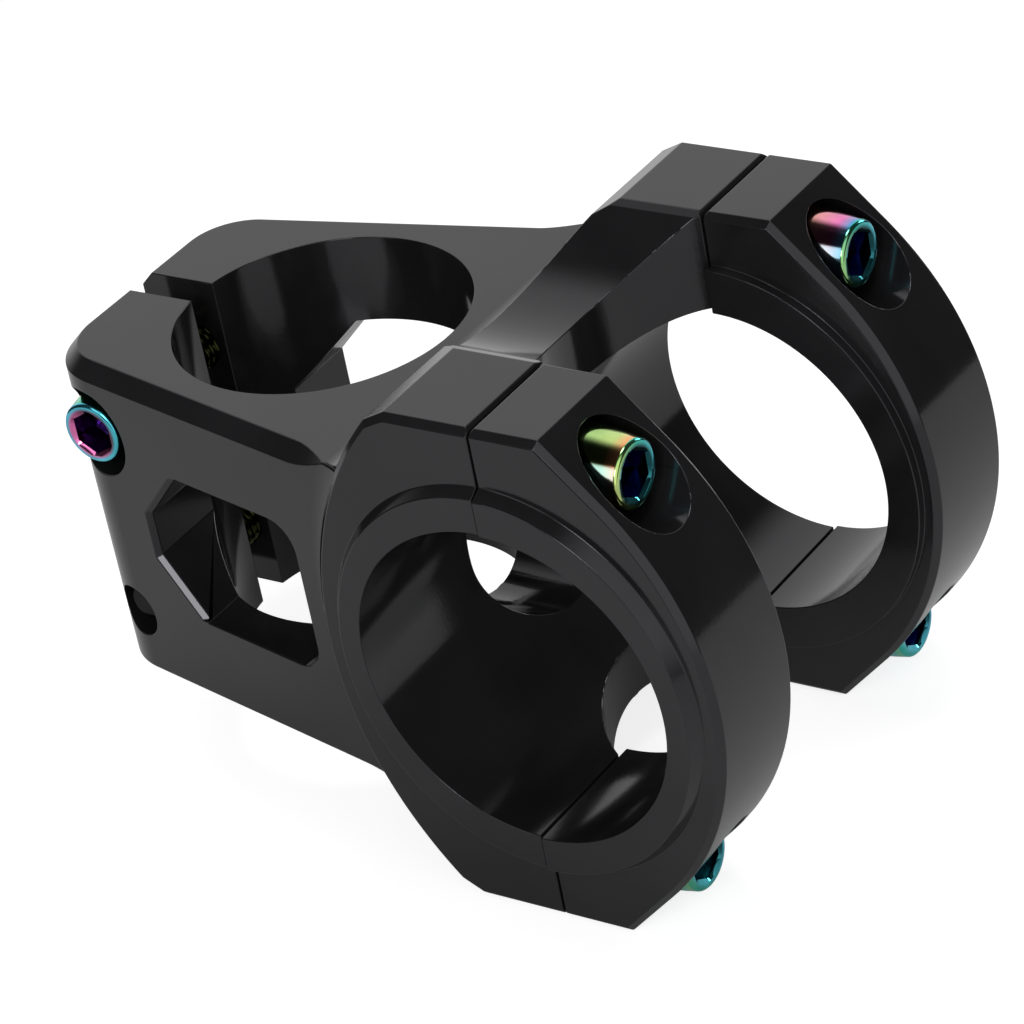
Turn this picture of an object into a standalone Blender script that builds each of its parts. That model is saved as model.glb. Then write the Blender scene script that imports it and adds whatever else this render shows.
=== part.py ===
# Handlebar stem: a machined body that clamps the steerer tube, with a split clamp for the bar.
# Frame: X runs forward from steerer to bar, Y to the rider's left, Z up along the steerer.
# The origin lies on the steerer axis at the middle of the clamp's height.
import math

import bmesh
import bpy
from mathutils import Matrix, Vector

MM = 0.001

# Interfaces
STEERER_RADIUS = 14.3 * MM
BAR_RADIUS = 15.9 * MM
EXTENSION = 35.0 * MM
BOLT_RADIUS = 2.5 * MM

# Steerer clamp
CLAMP_HALF_HEIGHT = 17.1 * MM
CLAMP_HALF_WIDTH = 18.9 * MM
SIDE_TAPER = 0.214
REAR_X = -23.05 * MM
CORNER_RADIUS = 7.3 * MM
EDGE_CHAMFER = 1.45 * MM
BASE_CHAMFER = 0.45 * MM
SLIT_WIDTH = 3.3 * MM
FLARE_START_X = 10.8 * MM
FLARE_RADIUS = 10.0 * MM
FLARE_INSET = 0.75 * MM
FLARE_RUN = 2.5 * MM
STRAIGHT_X = 8.5 * MM
FADE_START_X = 11.2 * MM
FADE_END_X = 16.0 * MM
FADE_LEAST = 0.1

# Side window, measured from the steerer axis
WINDOW_REAR_X = -12.2 * MM
WINDOW_FRONT_X = 8.9 * MM
WINDOW_HALF_HEIGHT = 8.0 * MM
WINDOW_REAR_HALF = 2.3 * MM
WINDOW_CORNER_LENGTH = 5.2 * MM
WINDOW_FRONT_RADIUS = 3.0 * MM
WINDOW_BEVEL = 0.55 * MM

# Bar clamp rings, measured from the bar axis
RING_HALF_HEIGHT = 25.7 * MM
RING_OUTER_Y = 25.35 * MM
RING_INNER_Y = 13.2 * MM
RING_CHAMFER = 0.6 * MM
FLAT_REAR_X = -9.0 * MM
FLAT_FRONT_X = 6.9 * MM
REAR_FACET_X = -11.3 * MM
REAR_FACET_DROP = 1.15 * MM
RING_REAR_X = -20.8 * MM
RING_FRONT_X = 20.6 * MM
BOSS_HALF_LENGTH = 18.1 * MM
BOSS_HALF_RISE = 19.4 * MM
BOSS_BEVEL = 0.7 * MM
BOSS_HEIGHT = 1.0 * MM
CAP_BOSS_HEIGHT = 1.3 * MM
INNER_BOSS_HEIGHT = 1.0 * MM
SPLIT_GAP = 0.25 * MM
ROOT_FILLET_RADIUS = 5.0 * MM
ROOT_INSET = 0.08 * MM

# Relief between the rings
VALLEY_DEPTH = 5.9 * MM
VALLEY_HALF_WIDTH = 13.2 * MM
VALLEY_BEVEL = 0.6 * MM
VALLEY_BEVEL_DEPTH = 0.4 * MM
FRONT_RECESS = 7.0 * MM

# Hole through the wall between the two bores
WALL_HOLE_RADIUS = 9.1 * MM
WALL_HOLE_STRAIGHT = 1.2 * MM

# Bolts
CAP_BOLT_EDGE = 5.6 * MM
CAP_BOLT_TIP_X = -9.0 * MM
CAP_HEAD_FACE_X = 12.3 * MM
PINCH_X = -18.0 * MM
PINCH_RISE = 10.05 * MM
PINCH_DROP = 0.4 * MM
PINCH_HEAD_FACE_Y = 15.2 * MM
PINCH_TIP_Y = 13.4 * MM
HEAD_RADIUS = 3.15 * MM
HEAD_FOOT_RADIUS = 3.9 * MM
HEAD_HEIGHT = 6.0 * MM
HEAD_CHAMFER = 0.35 * MM
SOCKET_WIDTH = 4.0 * MM
SOCKET_DEPTH = 3.0 * MM
WASHER_THICKNESS = 1.0 * MM
WASHER_RADIUS = 4.1 * MM
HOLE_CLEARANCE = 0.15 * MM
SEAT_CLEARANCE = 0.05 * MM
TIP_CLEARANCE = 1.0 * MM
COUNTERBORE_CLEARANCE = 0.4 * MM

# Derived fits
HOLE_RADIUS = BOLT_RADIUS + HOLE_CLEARANCE
COUNTERBORE_RADIUS = WASHER_RADIUS + COUNTERBORE_CLEARANCE
CAP_BOLT_RISE = RING_HALF_HEIGHT - CAP_BOLT_EDGE
SEAT_DEPTH = HEAD_HEIGHT + WASHER_THICKNESS + 2 * SEAT_CLEARANCE
RING_MIDDLE_Y = (RING_OUTER_Y + RING_INNER_Y) / 2
CUT_LENGTH = 4 * RING_OUTER_Y
ROUND_SEGMENTS = 64
BOLT_SEGMENTS = 32


def clear_scene():
    for obj in list(bpy.data.objects):
        bpy.data.objects.remove(obj)


def make_material(name, colour, roughness, metallic):
    material = bpy.data.materials.new(name)
    material.use_nodes = True
    shader = material.node_tree.nodes["Principled BSDF"]
    shader.inputs["Base Color"].default_value = (*colour, 1.0)
    shader.inputs["Roughness"].default_value = roughness
    shader.inputs["Metallic"].default_value = metallic
    return material


def arc_points(centre, radius, start, end, count):
    steps = [start + (end - start) * i / count for i in range(count + 1)]
    return [(centre[0] + radius * math.cos(a), centre[1] + radius * math.sin(a)) for a in steps]


def inset_outline(points, amounts):
    """Each corner of a counterclockwise outline moved inwards so that both its edges move by its amount."""
    moved = []
    for i, point in enumerate(points):
        here = Vector(point)
        before = (here - Vector(points[i - 1])).normalized()
        after = (Vector(points[(i + 1) % len(points)]) - here).normalized()
        normal = Vector((-before.y - after.y, before.x + after.x)).normalized()
        spread = max(0.3, normal.dot(Vector((-before.y, before.x))))
        moved.append(tuple(here + normal * amounts[i] / spread))
    return moved


def object_from(name, mesh_data):
    mesh = bpy.data.meshes.new(name)
    mesh_data.to_mesh(mesh)
    mesh_data.free()
    obj = bpy.data.objects.new(name, mesh)
    bpy.context.scene.collection.objects.link(obj)
    return obj


def loft(name, loops):
    """A closed solid through loops of equal length, capped at both ends."""
    data = bmesh.new()
    rows = [[data.verts.new(point) for point in loop] for loop in loops]
    for low, high in zip(rows, rows[1:]):
        for i in range(len(low)):
            k = (i + 1) % len(low)
            data.faces.new((low[i], low[k], high[k], high[i]))
    data.faces.new(list(reversed(rows[0])))
    data.faces.new(rows[-1])
    bmesh.ops.recalc_face_normals(data, faces=data.faces)
    return object_from(name, data)


def prism_along_y(name, outline, low, high, chamfer=0.0):
    """An outline in X and Z carried along Y, with both end edges chamfered."""
    inner = inset_outline(outline, [chamfer] * len(outline))
    ends = [(outline, low), (outline, high)]
    if chamfer:
        ends = [(inner, low), (outline, low + chamfer), (outline, high - chamfer), (inner, high)]
    return loft(name, [[(x, y, z) for x, z in points] for points, y in ends])


def cylinder(name, radius, length, centre, axis, segments):
    data = bmesh.new()
    bmesh.ops.create_cone(
        data, cap_ends=True, segments=segments, radius1=radius, radius2=radius, depth=length
    )
    turn = Vector((0, 0, 1)).rotation_difference(Vector(axis)).to_matrix().to_4x4()
    bmesh.ops.transform(data, matrix=Matrix.Translation(centre) @ turn, verts=data.verts)
    return object_from(name, data)


def box(name, low, high):
    data = bmesh.new()
    bmesh.ops.create_cube(data, size=1.0)
    size = Vector(high) - Vector(low)
    middle = (Vector(high) + Vector(low)) / 2
    bmesh.ops.transform(
        data, matrix=Matrix.Translation(middle) @ Matrix.Diagonal((*size, 1.0)), verts=data.verts
    )
    return object_from(name, data)


def combine(target, helper, operation):
    helper.hide_render = True
    helper.display_type = "WIRE"
    modifier = target.modifiers.new(helper.name, "BOOLEAN")
    modifier.operation = operation
    modifier.solver = "EXACT"
    modifier.object = helper


def finish(obj, material, smooth_angle=30):
    obj.data.materials.append(material)
    obj.data.shade_smooth()
    obj.data.set_sharp_from_angle(angle=math.radians(smooth_angle))


def ring_outline():
    """The bar clamp's side view: flats above and below, a bolt facet, and rounded front and rear."""
    facet = (FLAT_FRONT_X + RING_HALF_HEIGHT) / math.sqrt(2)
    front_radius = (facet - RING_FRONT_X / math.sqrt(2)) / (1 - 1 / math.sqrt(2))
    front_centre = RING_FRONT_X - front_radius
    facet_height = RING_HALF_HEIGHT - REAR_FACET_DROP
    reach = REAR_FACET_X - RING_REAR_X
    rear_radius = (reach**2 + facet_height**2) / (2 * reach)
    rear_centre = RING_REAR_X + rear_radius
    rear_angle = math.asin(facet_height / rear_radius)
    front = arc_points((front_centre, 0), front_radius, -math.pi / 4, math.pi / 4, 20)
    rear = arc_points((rear_centre, 0), rear_radius, math.pi - rear_angle, math.pi + rear_angle, 20)
    upper = [(FLAT_FRONT_X, RING_HALF_HEIGHT), (FLAT_REAR_X, RING_HALF_HEIGHT)]
    lower = [(FLAT_REAR_X, -RING_HALF_HEIGHT), (FLAT_FRONT_X, -RING_HALF_HEIGHT)]
    return [(EXTENSION + x, z) for x, z in front + upper + rear + lower]


def ring_rear_at(height):
    """How far back the ring's rear arc lies at a height above the bar axis, and the arc's slope there."""
    facet_height = RING_HALF_HEIGHT - REAR_FACET_DROP
    reach = REAR_FACET_X - RING_REAR_X
    radius = (reach**2 + facet_height**2) / (2 * reach)
    angle = math.asin(height / radius)
    return EXTENSION + RING_REAR_X + radius * (1 - math.cos(angle)), angle


def neck_outline(height):
    """The body's plan at one height, counterclockwise; its flare follows the rear arc of the rings."""
    lean = math.atan(SIDE_TAPER)

    def side(x):
        return CLAMP_HALF_WIDTH + SIDE_TAPER * x

    flare_x = FLARE_START_X + ring_rear_at(abs(height))[0] - ring_rear_at(0.0)[0]
    flare_centre = (
        flare_x - FLARE_RADIUS * math.sin(lean),
        side(flare_x) + FLARE_RADIUS * math.cos(lean),
    )
    flare_end = math.asin((RING_OUTER_Y - FLARE_INSET - flare_centre[1]) / FLARE_RADIUS)
    flare = arc_points(flare_centre, FLARE_RADIUS, lean - math.pi / 2, flare_end, 8)
    rear_turn = math.pi / 2 - lean
    reach = CORNER_RADIUS * math.tan(rear_turn / 2)
    corner_centre = (REAR_X + CORNER_RADIUS, side(REAR_X) - reach)
    corner = arc_points(corner_centre, CORNER_RADIUS, math.pi, math.pi - rear_turn, 8)
    places = [STRAIGHT_X + (flare_x - STRAIGHT_X) * i / 5 for i in range(5)]
    straight = [(x, side(x)) for x in places]
    last = flare[-1]
    run = [(last[0] + FLARE_RUN, last[1]), (EXTENSION + FLAT_REAR_X, RING_MIDDLE_Y)]
    left = corner + straight + flare + run
    right = [(x, -y) for x, y in reversed(left)]
    return [(x, y) for x, y in reversed(right + left)]


def chamfer_shares():
    """How much of the edge chamfer each corner of the plan carries: it fades out ahead of the rings."""
    steps = [(x - FADE_START_X) / (FADE_END_X - FADE_START_X) for x, _ in neck_outline(CLAMP_HALF_HEIGHT)]
    return [max(FADE_LEAST, 1 - min(1.0, max(0.0, step)) ** 1.5) for step in steps]


def build_neck():
    top = CLAMP_HALF_HEIGHT
    shares = chamfer_shares()
    outline = neck_outline(top)
    inner = inset_outline(outline, [EDGE_CHAMFER * share for share in shares])
    base = inset_outline(outline, [BASE_CHAMFER * share for share in shares])
    low = BASE_CHAMFER - top
    high = top - 1.2 * EDGE_CHAMFER
    heights = [low + (high - low) * i / 8 for i in range(9)]
    levels = [[(x, y, -top) for x, y in base]]
    levels += [[(x, y, z) for x, y in neck_outline(z)] for z in heights]
    levels.append([(x, y, top - EDGE_CHAMFER * share) for (x, y), share in zip(outline, shares)])
    levels.append([(x, y, top) for x, y in inner])
    return loft("stem_body", levels)


def build_root_fillet(name, side):
    """The concave sweep from the clamp's flat face up the rear of the rings."""
    height = CLAMP_HALF_HEIGHT + ROOT_FILLET_RADIUS * 0.42
    foot, angle = ring_rear_at(height)
    climb = math.pi / 2 - angle
    radius = (height - CLAMP_HALF_HEIGHT) / (1 - math.cos(climb))
    start = foot - radius * math.sin(climb)
    curve = arc_points(
        (start, CLAMP_HALF_HEIGHT + radius), radius, -math.pi / 2, climb - math.pi / 2, 8
    )
    depth = CLAMP_HALF_HEIGHT / 2
    inside = 0.5 * MM
    dip = 0.02 * MM
    curve[0] = (curve[0][0] - inside, CLAMP_HALF_HEIGHT - dip)
    profile = [(curve[0][0], depth), (foot + 4 * inside, depth), (foot + 4 * inside, height - inside)]
    profile += list(reversed(curve))
    profile = [(x, side * z) for x, z in profile]
    if side < 0:
        profile.reverse()
    wedge = prism_along_y(name, profile, -RING_OUTER_Y, RING_OUTER_Y)
    outline = neck_outline(CLAMP_HALF_HEIGHT)
    outline = inset_outline(outline, [EDGE_CHAMFER * share + ROOT_INSET for share in chamfer_shares()])
    tall = 2 * RING_HALF_HEIGHT
    plan = loft(name + "_plan", [[(x, y, z) for x, y in outline] for z in (-tall, tall)])
    combine(wedge, plan, "INTERSECT")
    return wedge


def build_window():
    """The side window: a pointed rear with cut corners and a square front with rounded corners."""
    corner = WINDOW_FRONT_X - WINDOW_FRONT_RADIUS
    level = WINDOW_HALF_HEIGHT - WINDOW_FRONT_RADIUS
    points = arc_points((corner, -level), WINDOW_FRONT_RADIUS, -math.pi / 2, 0, 6)
    points += arc_points((corner, level), WINDOW_FRONT_RADIUS, 0, math.pi / 2, 6)
    points += [
        (WINDOW_REAR_X + WINDOW_CORNER_LENGTH, WINDOW_HALF_HEIGHT),
        (WINDOW_REAR_X, WINDOW_REAR_HALF),
        (WINDOW_REAR_X, -WINDOW_REAR_HALF),
        (WINDOW_REAR_X + WINDOW_CORNER_LENGTH, -WINDOW_HALF_HEIGHT),
    ]
    return prism_along_y("window_cut", points, -CUT_LENGTH, CUT_LENGTH)


def build_window_bevel(name, side):
    """The broad bevel along the window's three rear edges, on one side face."""
    half = WINDOW_HALF_HEIGHT - ROOT_INSET
    slope = (WINDOW_HALF_HEIGHT - WINDOW_REAR_HALF) / WINDOW_CORNER_LENGTH
    stretch = math.sqrt(1 + slope**2)

    def loop(grow, rise):
        rear = WINDOW_REAR_X - grow
        knee = WINDOW_REAR_HALF + grow * (stretch - slope)
        tip = rear + (half - knee) / slope
        corners = [(tip, half), (rear, knee), (rear, -knee), (tip, -half), (0, -half), (0, half)]
        return [(x, side * (CLAMP_HALF_WIDTH + SIDE_TAPER * x + rise), z) for x, z in corners]

    return loft(name, [loop(0.0, -WINDOW_BEVEL), loop(2 * WINDOW_BEVEL, WINDOW_BEVEL)])


def build_valley_bevel(name, side):
    """A shallow trapezoid that breaks the edge between a valley and the flats beside it."""
    top = side * RING_HALF_HEIGHT
    deep = side * (RING_HALF_HEIGHT - VALLEY_BEVEL_DEPTH)
    foot = VALLEY_HALF_WIDTH - VALLEY_BEVEL_DEPTH
    edge = VALLEY_HALF_WIDTH + VALLEY_BEVEL
    over = 2 * edge - foot
    above = 2 * top - deep
    points = [(-foot, deep), (foot, deep), (over, above), (-over, above)]
    return loft(name, [[(x, y, z) for y, z in points] for x in (0, 2 * EXTENSION)])


def build_wall_hole():
    """An upright round-ended hole through the wall between the steerer and bar bores."""
    level = WALL_HOLE_STRAIGHT
    points = arc_points((0, level), WALL_HOLE_RADIUS, 0, math.pi, 24)
    points += arc_points((0, -level), WALL_HOLE_RADIUS, math.pi, 2 * math.pi, 24)
    return loft("wall_hole", [[(x, y, z) for y, z in points] for x in (0, EXTENSION)])


def build_boss(name, side, height):
    """The raised oval rim round one ring's bore, on both of the ring's faces, bevelled on the outer one."""
    foot = RING_OUTER_Y - RING_CHAMFER
    spread = BOSS_BEVEL * (height + RING_CHAMFER) / height
    levels = [(RING_INNER_Y - INNER_BOSS_HEIGHT, spread), (foot, spread), (RING_OUTER_Y + height, 0)]
    turn = [2 * math.pi * i / ROUND_SEGMENTS for i in range(ROUND_SEGMENTS)]
    loops = []
    for y, wider in levels:
        length = BOSS_HALF_LENGTH + wider
        rise = BOSS_HALF_RISE + wider
        loops.append([(EXTENSION + length * math.cos(a), side * y, rise * math.sin(a)) for a in turn])
    return loft(name, loops)


def cut_arc(name, half_chord, rise, crest, centre, axis, towards):
    """A long cylinder whose arc has the given half chord and rise, its deepest line through the crest."""
    radius = (half_chord**2 + rise**2) / (2 * rise)
    middle = Vector(crest) + Vector(towards) * radius
    return cylinder(name, radius, CUT_LENGTH, middle + Vector(centre), axis, 96)


def build_body(material):
    body = build_neck()
    slab = prism_along_y("ring_slab", ring_outline(), -RING_OUTER_Y, RING_OUTER_Y, RING_CHAMFER)
    combine(body, slab, "UNION")
    for name, side in (("upper_root", 1), ("lower_root", -1)):
        combine(body, build_root_fillet(name, side), "UNION")
    for name, side in (("left_boss", 1), ("right_boss", -1)):
        combine(body, build_boss(name, side, BOSS_HEIGHT), "UNION")
    along_y = (0, 1, 0)
    bar_centre = (EXTENSION, 0, 0)
    for name, side in (("upper_valley", 1), ("lower_valley", -1)):
        crest = (0, 0, side * (RING_HALF_HEIGHT - VALLEY_DEPTH))
        valley = cut_arc(
            name, VALLEY_HALF_WIDTH, VALLEY_DEPTH, crest, bar_centre, (1, 0, 0), (0, 0, side)
        )
        combine(body, valley, "DIFFERENCE")
        combine(body, build_valley_bevel(name + "_bevel", side), "DIFFERENCE")
    recess = cut_arc(
        "front_recess",
        RING_INNER_Y,
        FRONT_RECESS,
        (EXTENSION - SPLIT_GAP / 2 - FRONT_RECESS, 0, 0),
        (0, 0, 0),
        (0, 0, 1),
        (1, 0, 0),
    )
    combine(body, recess, "DIFFERENCE")
    bar = cylinder("bar_bore", BAR_RADIUS, CUT_LENGTH, bar_centre, along_y, ROUND_SEGMENTS)
    combine(body, bar, "DIFFERENCE")
    reach = CUT_LENGTH
    split = box("cap_space", (EXTENSION - SPLIT_GAP / 2, -reach, -reach), (reach, reach, reach))
    combine(body, split, "DIFFERENCE")
    steerer = cylinder("steerer_bore", STEERER_RADIUS, CUT_LENGTH, (0, 0, 0), (0, 0, 1), ROUND_SEGMENTS)
    combine(body, steerer, "DIFFERENCE")
    slit = box("rear_slit", (-reach, -SLIT_WIDTH / 2, -reach), (0, SLIT_WIDTH / 2, reach))
    combine(body, slit, "DIFFERENCE")
    combine(body, build_window(), "DIFFERENCE")
    for name, side in (("left_bevel", 1), ("right_bevel", -1)):
        combine(body, build_window_bevel(name, side), "DIFFERENCE")
    combine(body, build_wall_hole(), "DIFFERENCE")
    for name, side, rise in PINCH_PLACES:
        level = (PINCH_X, 0, rise)
        hole = cylinder(name + "_hole", HOLE_RADIUS, CUT_LENGTH, level, along_y, BOLT_SEGMENTS)
        combine(body, hole, "DIFFERENCE")
        seat = PINCH_HEAD_FACE_Y - SEAT_DEPTH
        centre = (PINCH_X, side * (seat + RING_OUTER_Y / 2), rise)
        sink = cylinder(
            name + "_sink", COUNTERBORE_RADIUS, RING_OUTER_Y, centre, along_y, BOLT_SEGMENTS
        )
        combine(body, sink, "DIFFERENCE")
    for name, side, rise in CAP_PLACES:
        tip = CAP_BOLT_TIP_X - TIP_CLEARANCE
        centre = (EXTENSION + tip / 2, side * RING_MIDDLE_Y, rise)
        hole = cylinder(name + "_thread", HOLE_RADIUS, -tip, centre, (1, 0, 0), BOLT_SEGMENTS)
        combine(body, hole, "DIFFERENCE")
    finish(body, material)
    return body


def build_cap(name, side, material):
    """One face cap: the front half of a ring, with bosses round the bore and two bolt seats."""
    low, high = sorted((side * RING_INNER_Y, side * RING_OUTER_Y))
    cap = prism_along_y(name, ring_outline(), low, high, RING_CHAMFER)
    along_y = (0, 1, 0)
    centre = (EXTENSION, side * RING_MIDDLE_Y, 0)
    combine(cap, build_boss(name + "_boss", side, CAP_BOSS_HEIGHT), "UNION")
    bore = cylinder(name + "_bore", BAR_RADIUS, CUT_LENGTH, centre, along_y, ROUND_SEGMENTS)
    combine(cap, bore, "DIFFERENCE")
    reach = CUT_LENGTH
    body_space = box(name + "_split", (-reach, -reach, -reach), (EXTENSION + SPLIT_GAP / 2, reach, reach))
    combine(cap, body_space, "DIFFERENCE")
    for bolt, bolt_side, rise in CAP_PLACES:
        if bolt_side != side:
            continue
        level = (EXTENSION, side * RING_MIDDLE_Y, rise)
        hole = cylinder(bolt + "_hole", HOLE_RADIUS, CUT_LENGTH, level, (1, 0, 0), BOLT_SEGMENTS)
        combine(cap, hole, "DIFFERENCE")
        seat = EXTENSION + CAP_HEAD_FACE_X - SEAT_DEPTH
        middle = (seat + RING_OUTER_Y / 2, side * RING_MIDDLE_Y, rise)
        sink = cylinder(
            bolt + "_sink", COUNTERBORE_RADIUS, RING_OUTER_Y, middle, (1, 0, 0), BOLT_SEGMENTS
        )
        combine(cap, sink, "DIFFERENCE")
    finish(cap, material)
    return cap


def turned(name, profile, segments):
    """A solid turned round the Z axis from a profile that starts and ends on the axis."""
    data = bmesh.new()
    verts = [data.verts.new((radius, 0, height)) for radius, height in profile]
    edges = [data.edges.new(pair) for pair in zip(verts, verts[1:])]
    bmesh.ops.spin(
        data,
        geom=verts + edges,
        axis=(0, 0, 1),
        cent=(0, 0, 0),
        angle=2 * math.pi,
        steps=segments,
        use_merge=True,
    )
    bmesh.ops.remove_doubles(data, verts=data.verts, dist=1e-7)
    bmesh.ops.recalc_face_normals(data, faces=data.faces)
    return object_from(name, data)


def place_on_axis(obj, seat, outward):
    """Puts a piece modelled along Z, with its seat at height zero, on a joint axis."""
    obj.location = seat
    obj.rotation_mode = "QUATERNION"
    obj.rotation_quaternion = Vector((0, 0, 1)).rotation_difference(Vector(outward))


def build_bolt(name, seat, outward, shank, material):
    """A socket screw whose tapered head rests on its washer, which rests on the seat."""
    under = WASHER_THICKNESS + 2 * SEAT_CLEARANCE
    top = under + HEAD_HEIGHT
    lead = BOLT_RADIUS * 0.3
    profile = [
        (0, top),
        (HEAD_RADIUS - HEAD_CHAMFER, top),
        (HEAD_RADIUS, top - HEAD_CHAMFER),
        (HEAD_FOOT_RADIUS, under),
        (BOLT_RADIUS, under),
        (BOLT_RADIUS, lead - shank),
        (BOLT_RADIUS - lead, -shank),
        (0, -shank),
    ]
    bolt = turned(name, profile, BOLT_SEGMENTS)
    socket = cylinder(
        name + "_socket",
        SOCKET_WIDTH / math.sqrt(3),
        2 * SOCKET_DEPTH,
        (0, 0, top),
        (0, 0, 1),
        6,
    )
    socket.parent = bolt
    combine(bolt, socket, "DIFFERENCE")
    place_on_axis(bolt, seat, outward)
    finish(bolt, material)
    return bolt


def build_washer(name, seat, outward, material):
    low = SEAT_CLEARANCE
    high = SEAT_CLEARANCE + WASHER_THICKNESS
    data = bmesh.new()
    inner = BOLT_RADIUS + HOLE_CLEARANCE / 2
    turns = [2 * math.pi * i / BOLT_SEGMENTS for i in range(BOLT_SEGMENTS)]
    loops = [(inner, low), (WASHER_RADIUS, low), (WASHER_RADIUS, high), (inner, high)]
    rows = [
        [data.verts.new((r * math.cos(a), r * math.sin(a), z)) for a in turns] for r, z in loops
    ]
    for first, second in zip(rows, rows[1:] + rows[:1]):
        for i in range(BOLT_SEGMENTS):
            k = (i + 1) % BOLT_SEGMENTS
            data.faces.new((first[i], first[k], second[k], second[i]))
    bmesh.ops.recalc_face_normals(data, faces=data.faces)
    washer = object_from(name, data)
    place_on_axis(washer, seat, outward)
    finish(washer, material)
    return washer


CAP_PLACES = (
    ("right_upper_cap", -1, CAP_BOLT_RISE),
    ("right_lower_cap", -1, -CAP_BOLT_RISE),
    ("left_upper_cap", 1, CAP_BOLT_RISE),
    ("left_lower_cap", 1, -CAP_BOLT_RISE),
)
PINCH_PLACES = (("upper_pinch", -1, PINCH_RISE - PINCH_DROP), ("lower_pinch", 1, -PINCH_RISE - PINCH_DROP))

clear_scene()
anodised = make_material("black_anodised_aluminium", (0.018, 0.018, 0.020), 0.32, 0.6)
coated = make_material("rainbow_coated_bolt", (0.25, 0.55, 0.60), 0.18, 1.0)
blackened = make_material("dark_washer_steel", (0.05, 0.05, 0.055), 0.35, 1.0)

build_body(anodised)
build_cap("face_cap_right", -1, anodised)
build_cap("face_cap_left", 1, anodised)

cap_seat = EXTENSION + CAP_HEAD_FACE_X - SEAT_DEPTH
for place, side, rise in CAP_PLACES:
    seat = (cap_seat, side * RING_MIDDLE_Y, rise)
    shank = cap_seat - EXTENSION - CAP_BOLT_TIP_X
    build_bolt(place + "_bolt", seat, (1, 0, 0), shank, coated)
    build_washer(place + "_washer", seat, (1, 0, 0), blackened)
pinch_seat = PINCH_HEAD_FACE_Y - SEAT_DEPTH
for place, side, rise in PINCH_PLACES:
    seat = (PINCH_X, side * pinch_seat, rise)
    build_bolt(place + "_bolt", seat, (0, side, 0), pinch_seat + PINCH_TIP_Y, coated)
    build_washer(place + "_washer", seat, (0, side, 0), blackened)
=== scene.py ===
import math

import bpy
import numpy as np
from mathutils import Matrix, Vector


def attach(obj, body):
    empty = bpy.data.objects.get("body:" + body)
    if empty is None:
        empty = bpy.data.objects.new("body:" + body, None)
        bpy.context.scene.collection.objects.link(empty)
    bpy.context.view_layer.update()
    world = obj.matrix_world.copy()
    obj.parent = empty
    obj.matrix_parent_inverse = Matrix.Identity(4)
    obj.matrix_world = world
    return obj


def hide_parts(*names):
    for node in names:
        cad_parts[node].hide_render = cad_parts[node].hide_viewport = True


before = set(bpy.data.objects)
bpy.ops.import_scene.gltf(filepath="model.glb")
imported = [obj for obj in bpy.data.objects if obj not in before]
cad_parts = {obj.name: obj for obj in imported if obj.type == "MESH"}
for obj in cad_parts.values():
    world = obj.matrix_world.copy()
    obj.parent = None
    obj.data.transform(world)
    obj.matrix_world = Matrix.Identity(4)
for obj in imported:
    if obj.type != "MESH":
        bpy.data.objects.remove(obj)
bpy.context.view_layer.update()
scene = bpy.context.scene
scene.view_settings.view_transform = "Standard"
mm = 0.001
print("stage: frame loaded with", len(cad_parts), "nodes")

# points along each curve
steps = {
    "bore": 192,
    "boss": 192,
    "corner": 24,
    "flare": 40,
    "floor": 96,
    "hole": 64,
    "ring": 64,
    "root": 24,
    "scoop": 240,
    "screw": 96,
    "side": 24,
    "sink": 96,
    "slot": 48,
    "washer": 96,
    "washerCorner": 5,
    "window": 20,
}
# millimetres that each kind of cutting helper reaches, so that it runs out of the piece
reachOf = {"rod": 80, "block": 90, "front": 120, "split": 40, "sink": 30, "capHole": 20, "thread": 5}


def meshObject(name, points, faces):
    # points in millimetres, faces as index lists, turned so that the enclosed volume is positive
    points = np.asarray(points, float) * mm
    mesh = bpy.data.meshes.new(name)
    mesh.from_pydata(points.tolist(), [], faces)
    mesh.update()
    mesh.calc_loop_triangles()
    tris = np.empty(len(mesh.loop_triangles) * 3, np.int32)
    mesh.loop_triangles.foreach_get("vertices", tris)
    if np.linalg.det(points[tris.reshape(-1, 3)]).sum() < 0:
        mesh.flip_normals()
    obj = bpy.data.objects.new(name, mesh)
    scene.collection.objects.link(obj)
    return obj


def quadGrid(rows, columns, wrapRows=False):
    # index quads of a grid whose columns close on themselves, rows too when wrapRows is set
    r = np.arange(rows if wrapRows else rows - 1)[:, None]
    c = np.arange(columns)[None, :]
    rNext = (r + 1) % rows
    cNext = (c + 1) % columns
    quads = np.stack(
        [r * columns + c, r * columns + cNext, rNext * columns + cNext, rNext * columns + c], -1
    )
    return quads.reshape(-1, 4).tolist()


def loft(name, loops):
    # a skin through stacked closed loops, both ends closed with one flat face
    loops = np.asarray(loops, float)
    rows, columns = loops.shape[:2]
    faces = quadGrid(rows, columns)
    faces += [list(range(columns))[::-1], list(range((rows - 1) * columns, rows * columns))]
    return meshObject(name, loops.reshape(-1, 3), faces)


def evenAngles(count):
    # a full turn in equal parts
    return np.arange(count) * 2 * np.pi / count


def arc(centre, radius, start, end, count):
    # circle points: centre plus radius times cosine and sine of evenly spaced angles
    t = np.linspace(start, end, count + 1)
    return np.stack([centre[0] + radius * np.cos(t), centre[1] + radius * np.sin(t)], 1)


leastSpread = 0.3  # keeps the mitre of a sharp corner short


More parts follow.
